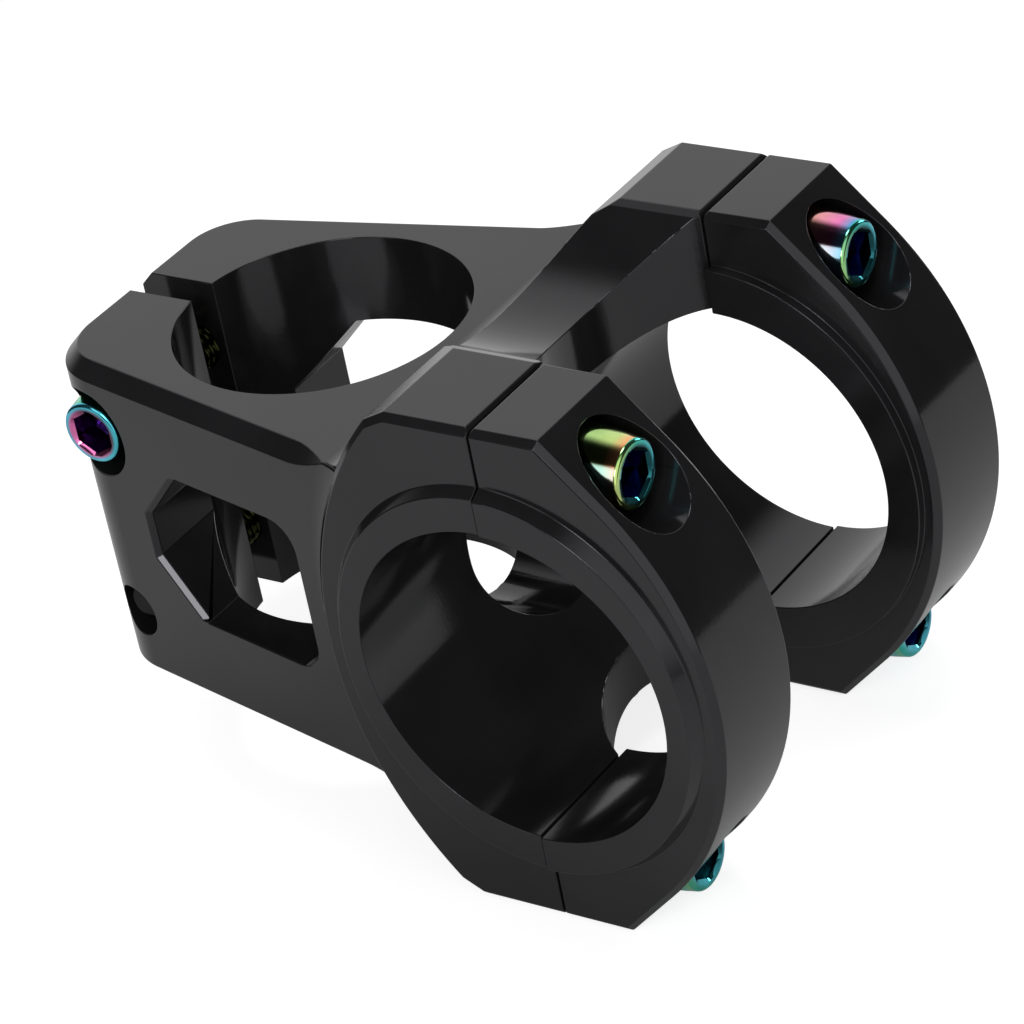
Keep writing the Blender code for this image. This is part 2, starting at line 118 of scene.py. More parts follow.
def insetLoop(outline, amount):
    # every corner moves inwards along its mitre, so both edges beside it shift by the amount
    before = outline - np.roll(outline, 1, 0)
    after = np.roll(outline, -1, 0) - outline
    before /= np.linalg.norm(before, axis=1)[:, None]
    after /= np.linalg.norm(after, axis=1)[:, None]
    mitre = np.stack([-before[:, 1] - after[:, 1], before[:, 0] + after[:, 0]], 1)
    mitre /= np.linalg.norm(mitre, axis=1)[:, None]
    spread = np.maximum(leastSpread, -mitre[:, 0] * before[:, 1] + mitre[:, 1] * before[:, 0])
    return outline + mitre * (np.asarray(amount) / spread)[..., None]


def sweepY(name, outline, stations):
    # an outline in X and Z set at each station of (inset, y)
    loops = [insetLoop(outline, np.full(len(outline), s)) if s else outline for s, _ in stations]
    ys = np.array([y for _, y in stations])
    flat = np.stack(loops)
    across = np.broadcast_to(ys[:, None], flat.shape[:2])
    return loft(name, np.stack([flat[..., 0], across, flat[..., 1]], -1))


def axisFrame(axis):
    # two directions square to the axis, right-handed with it
    w = np.asarray(axis, float)
    upright = abs(w[2]) > 0.9
    u = np.array([1.0, 0.0, 0.0]) if upright else np.cross([0.0, 0.0, 1.0], w)
    u /= np.linalg.norm(u)
    return u, np.cross(w, u), w


def carryRound(radii, heights, origin, axis, count):
    # rows of radius and height carried once round an axis: radius times the turning direction, plus height
    t = evenAngles(count)
    u, v, w = axisFrame(axis)
    ring = np.cos(t)[:, None] * u + np.sin(t)[:, None] * v
    return radii[..., None] * ring[None] + heights[:, None, None] * w + np.asarray(origin)


def rod(name, radius, low, high, origin, axis, count):
    # the same circle at two heights on an axis
    return loft(name, carryRound(np.full((2, 1), radius), np.array([low, high]), origin, axis, count))


def block(name, low, high):
    # the rectangle between two corners, at the lower and the upper height
    square = np.array([[low[0], low[1]], [high[0], low[1]], [high[0], high[1]], [low[0], high[1]]])
    return loft(name, [np.c_[square, np.full(4, z)] for z in (low[2], high[2])])


def carve(piece, helper, operation):
    # the exact union, difference or intersection, kept as the piece's own mesh
    cut = piece.modifiers.new(operation.lower(), "BOOLEAN")
    cut.solver = "EXACT"
    cut.operation = operation
    cut.object = helper
    made = bpy.data.meshes.new_from_object(piece.evaluated_get(bpy.context.evaluated_depsgraph_get()))
    piece.modifiers.clear()
    old, spent = piece.data, helper.data
    made.name = old.name
    piece.data = made
    bpy.data.objects.remove(helper)
    bpy.data.meshes.remove(old)
    bpy.data.meshes.remove(spent)


# width in millimetres, angles in degrees
edgeSize = {"roll": 0.1, "segments": 2, "rollAngle": 13, "mergeAngle": 0.08}


def softenEdges(piece):
    # level faces merged, then small flats rolled over every crisp edge, so each catches a line of light
    piece.data.shade_smooth()
    merge = piece.modifiers.new("flatMerge", "DECIMATE")
    merge.decimate_type = "DISSOLVE"
    merge.angle_limit = math.radians(edgeSize["mergeAngle"])
    roll = piece.modifiers.new("edgeRoll", "BEVEL")
    roll.width = edgeSize["roll"] * mm
    roll.segments = edgeSize["segments"]
    roll.limit_method = "ANGLE"
    roll.angle_limit = math.radians(edgeSize["rollAngle"])
    roll.use_clamp_overlap = False
    roll.harden_normals = True
    even = piece.modifiers.new("evenShade", "WEIGHTED_NORMAL")
    even.keep_sharp = True


# sizes in millimetres, the same lengths that the CAD source uses; the outline's x counts from the bar axis
ringSize = {
    "barX": 35.0,
    "barRadius": 15.9,
    "half": 25.7,
    "outerY": 25.35,
    "innerY": 13.2,
    "chamfer": 0.6,
    "flatRear": -9.0,
    "flatFront": 6.9,
    "facetX": -11.3,
    "facetDrop": 1.15,
    "rear": -20.8,
    "front": 20.6,
    "bossLength": 18.1,
    "bossRise": 19.4,
    "bossBevel": 0.7,
    "bossOut": 1.0,
    "capBossOut": 1.3,
    "bossIn": 1.0,
    "gap": 0.25,
    "splitBreak": 0.3,
    "valley": 5.9,
    "valleyY": 13.2,
    "valleyBevel": 0.6,
    "bevelDepth": 0.4,
    "recess": 7.0,
}
midY = (ringSize["outerY"] + ringSize["innerY"]) / 2


def rearArc():
    # height and radius of the arc behind the rings, through both rear facets and the rearmost point
    s = ringSize
    high, reach = s["half"] - s["facetDrop"], s["facetX"] - s["rear"]
    return high, (reach**2 + high**2) / (2 * reach)


def ringOutline():
    # bar clamp in side view: front arc, bolt facet, top flat, rear facet, rear arc, then mirrored below
    s, slant = ringSize, math.sqrt(2)
    facet = (s["flatFront"] + s["half"]) / slant
    frontRadius = (facet - s["front"] / slant) / (1 - 1 / slant)
    high, rearRadius = rearArc()
    sweep = math.asin(high / rearRadius)
    front = arc((s["front"] - frontRadius, 0), frontRadius, -math.pi / 4, math.pi / 4, steps["ring"])
    rearCentre = (s["rear"] + rearRadius, 0)
    rear = arc(rearCentre, rearRadius, math.pi - sweep, math.pi + sweep, steps["ring"])
    top = np.array([[s["flatFront"], s["half"]], [s["flatRear"], s["half"]]])
    low = np.array([[s["flatRear"], -s["half"]], [s["flatFront"], -s["half"]]])
    return np.concatenate([front, top, rear, low]) + [s["barX"], 0]


def ringRearAt(height):
    # x of the rear arc and its slope angle at a height above the bar axis
    radius = rearArc()[1]
    angle = math.asin(height / radius)
    return ringSize["barX"] + ringSize["rear"] + radius * (1 - math.cos(angle)), angle


def scoop(name, halfChord, rise, crest, axis, towards):
    # a long rod whose arc has the given half chord and rise, touching its crest line
    radius = (halfChord**2 + rise**2) / (2 * rise)
    centre = np.asarray(crest) + np.asarray(towards) * radius
    return rod(name, radius, -reachOf["rod"], reachOf["rod"], centre, axis, steps["scoop"])


def valleyBevel(side):
    # a shallow trapezoid along X that breaks the edge between the valley and the flats
    s = ringSize
    foot, edge = s["valleyY"] - s["bevelDepth"], s["valleyY"] + s["valleyBevel"]
    deep, above = s["half"] - s["bevelDepth"], s["half"] + s["bevelDepth"]
    over = 2 * edge - foot
    y, z = np.array([-foot, foot, over, -over]), side * np.array([deep, deep, above, above])
    return loft("valleyBevel", [np.stack([np.full(4, x), y, z], 1) for x in (0, 2 * s["barX"])])


def splitBreak(side):
    # a small V along Y over the split, so both edges of the joint are broken on the flat
    s = ringSize
    half = s["gap"] / 2 + s["splitBreak"]
    x = s["barX"] + np.array([-2 * half, 0, 2 * half])
    z = side * (s["half"] + np.array([half, -half, half]))
    ends = (-reachOf["split"], reachOf["split"])
    return loft("splitBreak", [np.stack([x, np.full(3, y), z], 1) for y in ends])


def bossRim(side, height):
    # ellipses in X and Z stacked along Y: even through the ring, then narrowing by the bevel to the face
    s = ringSize
    wider = s["bossBevel"] * (height + s["chamfer"]) / height
    y = np.array([s["innerY"] - s["bossIn"], s["outerY"] - s["chamfer"], s["outerY"] + height])[:, None]
    more = np.array([wider, wider, 0])[:, None]
    t = evenAngles(steps["boss"])[None, :]
    x = s["barX"] + (s["bossLength"] + more) * np.cos(t)
    z = (s["bossRise"] + more) * np.sin(t)
    return loft("boss", np.stack([x, np.broadcast_to(side * y, x.shape), z], -1))


neckSize = {
    "halfHeight": 17.1,
    "halfWidth": 18.9,
    "taper": 0.214,
    "rearX": -23.05,
    "cornerRadius": 7.3,
    "chamfer": 1.45,
    "baseChamfer": 0.45,
    "slit": 3.3,
    "steererRadius": 14.3,
    "straightX": 8.5,
    "flareX": 10.8,
    "flareRadius": 10.0,
    "flareEndY": 24.6,
    "flareRun": 2.5,
    "flareLevels": 25,
    "flareStop": 1.2,  # chamfers below the top where the flare's own levels end
    "fade": (11.2, 16.0),
    "fadePower": 1.5,
    "fadeLeast": 0.1,
    "rootRise": 2.1,
    "rootLead": (0.5, 0.02),
    "rootSink": (2.0, 0.5),
    "rootTrim": 0.08,
}


def neckPlan(height):
    # body in plan at one height: rounded rear corners, tapered sides, a flare along the rings' rear arc
    n = neckSize
    lean = math.atan(n["taper"])
    sideAt = lambda x: n["halfWidth"] + n["taper"] * x
    flareX = n["flareX"] + ringRearAt(abs(height))[0] - ringRearAt(0)[0]
    flareCentre = (
        flareX - n["flareRadius"] * math.sin(lean),
        sideAt(flareX) + n["flareRadius"] * math.cos(lean),
    )
    end = math.asin((n["flareEndY"] - flareCentre[1]) / n["flareRadius"])
    flare = arc(flareCentre, n["flareRadius"], lean - math.pi / 2, end, steps["flare"])
    turn = math.pi / 2 - lean
    reach = n["cornerRadius"] * math.tan(turn / 2)
    cornerCentre = (n["rearX"] + n["cornerRadius"], sideAt(n["rearX"]) - reach)
    corner = arc(cornerCentre, n["cornerRadius"], math.pi, math.pi - turn, steps["corner"])
    x = np.linspace(n["straightX"], flareX, steps["side"], endpoint=False)
    run = [flare[-1] + [n["flareRun"], 0], [ringSize["barX"] + ringSize["flatRear"], midY]]
    half = np.concatenate([corner, np.stack([x, sideAt(x)], 1), flare, run])
    return np.concatenate([half[::-1], half * [1, -1]])


def chamferShare():
    # the broad chamfer's full size along the side, falling to a sliver ahead of the rings
    low, high = neckSize["fade"]
    along = np.clip((neckPlan(neckSize["halfHeight"])[:, 0] - low) / (high - low), 0, 1)
    return np.maximum(1 - along ** neckSize["fadePower"], neckSize["fadeLeast"])


def rootFillet(side):
    # concave sweep from the clamp's flat up the rear of the rings, trimmed to the plan
    n, s = neckSize, ringSize
    height = n["halfHeight"] + n["rootRise"]
    foot, angle = ringRearAt(height)
    climb = math.pi / 2 - angle
    radius = n["rootRise"] / (1 - math.cos(climb))
    centre = (foot - radius * math.sin(climb), n["halfHeight"] + radius)
    curve = arc(centre, radius, -math.pi / 2, climb - math.pi / 2, steps["root"])
    curve[0] -= n["rootLead"]
    depth, inside, sill = n["halfHeight"] / 2, foot + n["rootSink"][0], height - n["rootSink"][1]
    base = np.array([[curve[0, 0], depth], [inside, depth], [inside, sill]])
    profile = np.concatenate([base, curve[::-1]]) * [1, side]
    wedge = sweepY("root", profile if side > 0 else profile[::-1], [(0, -s["outerY"]), (0, s["outerY"])])
    plan = insetLoop(neckPlan(n["halfHeight"]), chamferShare() * n["chamfer"] + n["rootTrim"])
    tall = 2 * s["half"]
    trim = loft("rootPlan", [np.c_[plan, np.full(len(plan), z)] for z in (-tall, tall)])
    carve(wedge, trim, "INTERSECT")
    return wedge


windowSize = {
    "rearX": -12.2,
    "frontX": 8.9,
    "half": 8.0,
    "rearHalf": 2.3,
    "corner": 5.2,
    "radius": 3.0,
    "bevel": 0.55,
    "bevelKeep": 0.08,
}


def windowCut():
    # quarter arcs at the front corners, a blunt point at the rear, carried right across
    w = windowSize
    corner, level = w["frontX"] - w["radius"], w["half"] - w["radius"]
    low = arc((corner, -level), w["radius"], -math.pi / 2, 0, steps["window"])
    high = arc((corner, level), w["radius"], 0, math.pi / 2, steps["window"])
    knee = w["rearX"] + w["corner"]
    x = np.array([knee, w["rearX"], w["rearX"], knee])
    rear = np.stack([x, np.array([w["half"], w["rearHalf"], -w["rearHalf"], -w["half"]])], 1)
    across = [(0, -reachOf["rod"]), (0, reachOf["rod"])]
    return sweepY("windowCut", np.concatenate([low, high, rear]), across)


def windowBevel(side):
    # a ramp along the three rear edges: the window's own corners below, grown corners above the side face
    w, n = windowSize, neckSize
    half = w["half"] - w["bevelKeep"]
    slope = (w["half"] - w["rearHalf"]) / w["corner"]
    loops = []
    for grow, rise in ((0.0, -w["bevel"]), (2 * w["bevel"], w["bevel"])):
        rear, knee = w["rearX"] - grow, w["rearHalf"] + grow * (math.hypot(1, slope) - slope)
        tip = rear + (half - knee) / slope
        x = np.array([tip, rear, rear, tip, 0, 0])
        z = np.array([half, knee, -knee, -half, -half, half])
        loops.append(np.stack([x, side * (n["halfWidth"] + n["taper"] * x + rise), z], 1))
    return loft("windowBevel", loops)


wallHole = {"radius": 9.1, "straight": 1.2}


def wallCut():
    # an upright slot with round ends, carried forward from the steerer axis to the bar axis
    r, level, count = wallHole["radius"], wallHole["straight"], steps["slot"]
    ends = [arc((0, level), r, 0, math.pi, count), arc((0, -level), r, math.pi, 2 * math.pi, count)]
    outline = np.concatenate(ends)
    return loft("wallCut", [np.c_[np.full(len(outline), x), outline] for x in (0, ringSize["barX"])])


washerSize = {"thick": 1.0, "radius": 4.1, "soft": 0.12}
screwSize = {
    "rise": 20.1,
    "tipX": -9.0,
    "faceX": 12.3,
    "pinchX": -18.0,
    "pinchRise": 10.05,
    "pinchDrop": 0.4,
    "pinchFaceY": 15.2,
    "pinchTipY": 13.4,
    "radius": 2.5,
    "headRadius": 3.15,
    "headFoot": 3.9,
    "headHeight": 6.0,
    "headChamfer": 0.35,
    "headWaist": 0.25,
    "rimRows": 7,
    "edge": 0.15,
    "fit": 0.02,
    "socket": 4.0,
    "socketDepth": 3.0,
    "socketFloor": 0.94,
    "socketPoint": 0.45,
    "sinkWide": 0.12,
    "sinkDeep": 0.22,
    "holeGap": 0.15,
    "seatGap": 0.05,
    "tipGap": 1.0,
    "sinkGap": 0.4,
}
# the ridge is a clipped triangle wave: crest less flank times the distance from its middle
thread = {
    "pitch": 0.8,
    "root": 0.84,
    "lead": 0.75,
    "ends": (1.5, 1.3, 1.1),
    "fade": 0.8,
    "crest": 1.25,
    "flank": 1.6,
    "rowsPerTurn": 10,
}
underHead = washerSize["thick"] + 2 * screwSize["seatGap"]
seatDepth = screwSize["headHeight"] + underHead
capSeat = ringSize["barX"] + screwSize["faceX"] - seatDepth
pinchSeat = screwSize["pinchFaceY"] - seatDepth
# name, side and level of each screw
capScrews = [
    ("right_upper_cap", -1, 1),
    ("right_lower_cap", -1, -1),
    ("left_upper_cap", 1, 1),
    ("left_lower_cap", 1, -1),
]
pinchScrews = [("upper_pinch", -1, 1), ("lower_pinch", 1, -1)]

# coating film: along the head's side, round the rim, on the lip, in the socket; then the strength of the
# side's painted reflection bands
filmKeys = ("side", "rim", "lip", "socket", "reflectionBanding")
filmOf = {
    "right_upper_cap": ((0.46, 0.52, 0.74), (0.53, 0.30), 0.30, 0.09, 1.0),
    "left_upper_cap": ((0.68, 0.86, 1.20), (0.46, 0.28), 0.30, 0.10, 0.9),
    "right_lower_cap": ((0.30, 0.36, 0.44), (0.40, 0.27), 0.30, 0.30, 0.6),
    "left_lower_cap": ((0.26, 0.32, 0.42), (0.36, 0.25), 0.28, 0.12, 0.6),
    "upper_pinch": ((0.46, 0.42, 0.38), (0.25, 0.29), 0.86, 0.02, 0.0),
    "lower_pinch": ((0.70, 0.60, 0.50), (0.30, 0.42), 0.86, 0.02, 0.0),
}
# film thickness as a share of one cycle, then red, green and blue
filmStops = np.array(
    [
        (0.0, 0.16, 0.06, 0.42),
        (0.12, 0.06, 0.12, 0.62),
        (0.27, 0.12, 0.66, 0.84),
        (0.38, 0.06, 0.56, 0.42),
        (0.48, 0.45, 0.78, 0.24),
        (0.60, 0.94, 0.84, 0.32),
        (0.74, 0.94, 0.40, 0.18),
        (0.87, 0.92, 0.22, 0.58),
        (1.0, 0.16, 0.06, 0.42),
    ]
)
# bands as middle and half width in degrees round the screw; the dark and the pale band are painted
# reflections down the head's side
filmLook = {
    "shank": 0.55,
    "shankPaintedShade": 0.05,
    "tipGrey": 0.5,
    "socketPaintedShade": (0.45, 0.35, 0.3),
    "lipAt": 40.0,
    "lipPaintedShade": (0.5, 0.6),
    "lipLeast": 0.12,
    "dark": (126.0, 15.0),
    "darkShare": 0.92,
    "pale": (164.0, 23.0),
    "paleShare": 0.75,
    "paintedPaleTone": (0.6, 1.0, 1.0),
    "bandSoft": 4.0,
    "bandRows": (1, 1, 0.6),
    "sharpAngle": 35,
}


def screwProfile(shank):
    # radius by row and angle, and height by row: a helical ridge on the shank, a tapered head, a hex socket
    k, count = screwSize, steps["screw"]
    t = evenAngles(count)
    top, edge, waist = seatDepth, k["edge"], k["headWaist"]
    core, plain, lead = k["radius"] * thread["root"], k["radius"] - k["fit"], thread["lead"]
    stop, neckLow, neckHigh = thread["ends"]
    rowCount = int((shank - lead - stop) / thread["pitch"] * thread["rowsPerTurn"])
    z = np.linspace(lead - shank, -stop, rowCount)
    phase = (z[:, None] / thread["pitch"] - t[None, :] / (2 * np.pi)) % 1
    ridge = np.clip(thread["crest"] - np.abs(2 * phase - 1) * thread["flank"], 0, 1)
    fade = np.clip((z - z[0]) / thread["fade"], 0, 1) * np.clip((z[-1] - z) / thread["fade"], 0, 1)
    radii = [np.full(count, r) for r in (0.0, k["radius"] - lead)]
    radii += list(core + (k["radius"] - core) * ridge * fade[:, None])
    heights = [-shank, -shank] + list(z)
    rows = [(core, -neckLow), (plain, -neckHigh), (plain, underHead - edge), (plain + edge, underHead)]
    rows += [(k["headFoot"] - edge, underHead), (k["headFoot"] - k["fit"], underHead + edge - k["fit"])]
    rows += [(k["headRadius"] + (k["headFoot"] - k["headRadius"]) * waist, top - waist * k["headHeight"])]
    centre = (k["headRadius"] - k["headChamfer"], top - k["headChamfer"])
    rows += arc(centre, k["headChamfer"], 0, np.pi / 2, k["rimRows"] - 1).tolist()
    rows += [(k["socket"] / math.sqrt(3) + k["sinkWide"], top)]
    radii += [np.full(count, r) for r, _ in rows]
    heights += [h for _, h in rows]
    hexagon = k["socket"] / 2 / np.cos((t + np.pi / 6) % (np.pi / 3) - np.pi / 6)
    radii += [hexagon, hexagon, hexagon * k["socketFloor"], np.zeros(count)]
    floor = top - k["socketDepth"]
    heights += [top - k["sinkDeep"], floor + edge, floor, floor - k["socketPoint"]]
    return np.array(radii), np.array(heights)


def screwTone(rowsCount, tint):
    # film by row and angle, read off the stops: a climb along the head, a half turn of change round the rim
    look, t, rimRows = filmLook, evenAngles(steps["screw"]), screwSize["rimRows"]
    even = np.ones(len(t))
    near, far = tint["rim"]
    around = far + (near - far) * (0.5 - 0.5 * np.cos(t))
    headRow = rowsCount - rimRows - 7  # side 3, lip 2 and socket 3 rows, less the one shared with the rim
    film = [look["shank"] * even] * headRow + [f * even for f in tint["side"]] + [around] * (rimRows - 1)
    film += [tint["lip"] * even] * 2 + [tint["socket"] * even] * 3
    film = np.array(film) % 1.0
    tone = np.stack([np.interp(film, filmStops[:, 0], filmStops[:, c]) for c in (1, 2, 3)], -1)
    tone[:2] = look["tipGrey"]
    # painted shade on the shank and in the socket; painted shade and light round the lip, darker at the far
    # top; down the side a painted dark reflection band, then a painted pale reflection band
    middle, swing = look["lipPaintedShade"]
    # painted shade and light round the lip: darkest at lipAt, lightest on the opposite side
    lip = np.clip(middle - swing * np.cos(t - np.radians(look["lipAt"])), look["lipLeast"], 1)
    tone[-5:-3] *= lip[None, :, None]
    # painted shade: the shank and its tip darkened as if in the shadow of the bores, the socket darker in
    # each deeper row
    paintedShade = np.ones(rowsCount)
    paintedShade[:headRow] = look["shankPaintedShade"]
    paintedShade[-3:] = look["socketPaintedShade"]
    sideRows = np.zeros(rowsCount)
    sideRows[headRow : headRow + 3] = look["bandRows"]
    # painted reflections: a dark band and a pale band down the head's side, soft-edged round the screw
    bump = lambda at, half: np.clip((half - np.abs(np.degrees(t) - at)) / look["bandSoft"] + 0.5, 0, 1)
    paintedPaleReflection, paintedDarkReflection = (
        (sideRows[:, None] * tint["reflectionBanding"] * look[band + "Share"] * bump(*look[band]))[..., None]
        for band in ("pale", "dark")
    )
    tone += (np.array(look["paintedPaleTone"]) - tone) * paintedPaleReflection
    tone *= (1 - paintedDarkReflection) * paintedShade[:, None, None]
    return np.concatenate([tone, np.ones(tone.shape[:2] + (1,))], -1)


def poleRows(grid):
    # a grid as a list whose first and last rows are one point each
    return np.concatenate([grid[0, :1], grid[1:-1].reshape(-1, grid.shape[-1]), grid[-1, :1]])


def makeScrew(name, seat, outward, shank, tint):
    # the profile carried round its axis, a fan of triangles at each pole, the coating with its painted
    # shade and painted reflections as a colour attribute
    count = steps["screw"]
    radii, heights = screwProfile(shank)
    points = poleRows(carryRound(radii, heights, seat, outward, count))
    faces = (np.array(quadGrid(len(heights) - 2, count)) + 1).tolist()
    last = len(points) - 1
    end = last - count
    first = np.arange(count)
    after = (first + 1) % count
    faces += np.stack([np.zeros(count, int), 1 + after, 1 + first], 1).tolist()
    faces += np.stack([np.full(count, last), end + first, end + after], 1).tolist()
    screw = meshObject(name, points, faces)
    layer = screw.data.attributes.new("coatToneAndPaintedLight", "FLOAT_COLOR", "POINT")
    layer.data.foreach_set("color", poleRows(screwTone(len(heights), tint)).astype(np.float32).ravel())
    screw.data.shade_smooth()
    screw.data.set_sharp_from_angle(angle=math.radians(filmLook["sharpAngle"]))
    return screw


def makeWasher(name, seat, outward):
    # a rounded rectangle section carried round the screw's axis
    k, soft = screwSize, washerSize["soft"]
    inner, outer = k["radius"] + k["holeGap"] / 2 + soft, washerSize["radius"] - soft
    low, high = k["seatGap"] + soft, k["seatGap"] + washerSize["thick"] - soft
    corners = [(outer, low, -90), (outer, high, 0), (inner, high, 90), (inner, low, 180)]
    section = np.concatenate(
        [
            arc((r, h), soft, math.radians(a), math.radians(a + 90), steps["washerCorner"])
            for r, h, a in corners
        ]
    )
    grid = carryRound(section[:, :1], section[:, 1], seat, outward, steps["washer"])
    washer = meshObject(name, grid.reshape(-1, 3), quadGrid(len(section), steps["washer"], True))
    washer.data.shade_smooth()
    return washer


def makeBody():
    # plans stacked by height, joined to the ring slab, roots and bosses, then every bore and cut taken out
    n, s, k = neckSize, ringSize, screwSize
    far, wide = reachOf["rod"], reachOf["block"]
    top, share = n["halfHeight"], chamferShare()
    plan = neckPlan(top)
    levels = [(insetLoop(plan, share * n["baseChamfer"]), -top)]
    heights = np.linspace(n["baseChamfer"] - top, top - n["flareStop"] * n["chamfer"], n["flareLevels"])
    levels += [(neckPlan(z), z) for z in heights]
    levels += [(plan, top - share * n["chamfer"]), (insetLoop(plan, share * n["chamfer"]), top)]
    body = loft("stemBody", [np.c_[p, np.broadcast_to(z, len(p))] for p, z in levels])
    ends = [(s["chamfer"], -s["outerY"]), (0, s["chamfer"] - s["outerY"])]
    ends += [(a, -y) for a, y in reversed(ends)]
    carve(body, sweepY("slab", ringOutline(), ends), "UNION")
    for side in (1, -1):
        carve(body, rootFillet(side), "UNION")
        carve(body, bossRim(side, s["bossOut"]), "UNION")
    bar = np.array([s["barX"], 0, 0])
    for side in (1, -1):
        crest = bar + [0, 0, side * (s["half"] - s["valley"])]
        valley = scoop("valley", s["valleyY"], s["valley"], crest, (1, 0, 0), (0, 0, side))
        carve(body, valley, "DIFFERENCE")
        carve(body, valleyBevel(side), "DIFFERENCE")
        carve(body, splitBreak(side), "DIFFERENCE")
    crest = bar - [s["gap"] / 2 + s["recess"], 0, 0]
    split = s["barX"] - s["gap"] / 2
    cuts = [
        scoop("recess", s["innerY"], s["recess"], crest, (0, 0, 1), (1, 0, 0)),
        rod("barBore", s["barRadius"], -far, far, bar, (0, 1, 0), steps["bore"]),
        block("front", (split, -wide, -wide), (reachOf["front"], wide, wide)),
        rod("steerer", n["steererRadius"], -far, far, (0, 0, 0), (0, 0, 1), steps["bore"]),
        block("slit", (-wide, -n["slit"] / 2, -wide), (0, n["slit"] / 2, wide)),
        windowCut(),
        windowBevel(1),
        windowBevel(-1),
        wallCut(),
    ]
    hole = k["radius"] + k["holeGap"]
    sink, deep = washerSize["radius"] + k["sinkGap"], pinchSeat + reachOf["sink"]
    for _, side, level in pinchScrews:
        at = (k["pinchX"], 0, level * k["pinchRise"] - k["pinchDrop"])
        cuts += [rod("hole", hole, -far, far, at, (0, 1, 0), steps["hole"])]
        cuts += [rod("sink", sink, pinchSeat, deep, at, (0, side, 0), steps["sink"])]
    for _, side, level in capScrews:
        at = (s["barX"], side * midY, level * k["rise"])
        low = k["tipX"] - k["tipGap"]
        cuts += [rod("thread", hole, low, reachOf["thread"], at, (1, 0, 0), steps["hole"])]
    for cut in cuts:
        carve(body, cut, "DIFFERENCE")
    return body


def makeCap(name, side):
    # the ring outline between its two faces, joined to the boss, then bored, split and drilled
    s, k = ringSize, screwSize
    far, wide = reachOf["rod"], reachOf["block"]
    ends = [(s["chamfer"], s["innerY"]), (0, s["innerY"] + s["chamfer"])]
    ends += [(0, s["outerY"] - s["chamfer"]), (s["chamfer"], s["outerY"])]
    cap = sweepY(name, ringOutline(), [(a, side * y) for a, y in ends])
    carve(cap, bossRim(side, s["capBossOut"]), "UNION")
    split = s["barX"] + s["gap"] / 2
    cuts = [
        splitBreak(1),
        splitBreak(-1),
        rod("bore", s["barRadius"], -far, far, (s["barX"], 0, 0), (0, 1, 0), steps["bore"]),
        block("rear", (-wide, -wide, -wide), (split, wide, wide)),
    ]
    seat = k["faceX"] - seatDepth
    hole, sink = k["radius"] + k["holeGap"], washerSize["radius"] + k["sinkGap"]
    for level in (1, -1):
        at = (s["barX"], side * midY, level * k["rise"])
        cuts += [rod("hole", hole, -reachOf["capHole"], far, at, (1, 0, 0), steps["hole"])]
        cuts += [rod("sink", sink, seat, seat + reachOf["sink"], at, (1, 0, 0), steps["sink"])]
    for cut in cuts:
        carve(cap, cut, "DIFFERENCE")
    return cap


def newMaterial(name):
    # a material, its node tree and its shader
    material = bpy.data.materials.new(name)
    material.use_nodes = True
    tree = material.node_tree
    return material, tree, tree.nodes["Principled BSDF"]


def node(tree, kind, **settings):
    # one node with its settings
    made = tree.nodes.new(kind)
    for key, value in settings.items():
        setattr(made, key, value)
    return made


def rampOf(tree, stops, source):
    # colours placed along a value
    ramp = node(tree, "ShaderNodeValToRGB")
    tree.links.new(source, ramp.inputs["Fac"])
    spots = ramp.color_ramp.elements
    for spot, (place, colour) in zip(spots, stops):
        spot.position = place
        spot.color = (*colour, 1.0)
    return ramp.outputs["Color"]


def noiseOf(tree, where, scale, detail):
    # soft clouds over the piece
    cloud = node(tree, "ShaderNodeTexNoise")
    cloud.inputs["Scale"].default_value = scale
    cloud.inputs["Detail"].default_value = detail
    tree.links.new(where, cloud.inputs["Vector"])
    return cloud.outputs["Fac"]


def spanOf(tree, source, before, after, curve="LINEAR"):
    # a value carried from one span to another
    span = node(tree, "ShaderNodeMapRange", interpolation_type=curve)
    for word, value in zip(("From Min", "From Max", "To Min", "To Max"), (*before, *after)):
        span.inputs[word].default_value = value
    tree.links.new(source, span.inputs["Value"])
    return span.outputs["Result"]


def seenMix(tree, hidden, seen):
    # the camera's own rays meet the seen strength, reflections and shadows the hidden one
    path = node(tree, "ShaderNodeLightPath")
    pick = node(tree, "ShaderNodeMix", data_type="FLOAT")
    tree.links.new(path.outputs["Is Camera Ray"], pick.inputs["Factor"])
    tree.links.new(hidden, pick.inputs["A"])
    pick.inputs["B"].default_value = seen
    return pick.outputs["Result"]


# shade stops are a place on the clouds and a share of the colour
anodised = {
    "colour": (0.0125, 0.0125, 0.0135),
    "shade": ((0.25, 0.75), (0.8, 1.35)),
    "sheen": (0.95, 0.95, 1.0, 1.0),
    "cloud": (90.0, 5.0),
    "rough": (0.09, 0.14),
    "grain": (2600.0, 3.0),
    "bump": 0.035,
    "bumpDepth": 0.0001,
    "ior": 1.5,
}


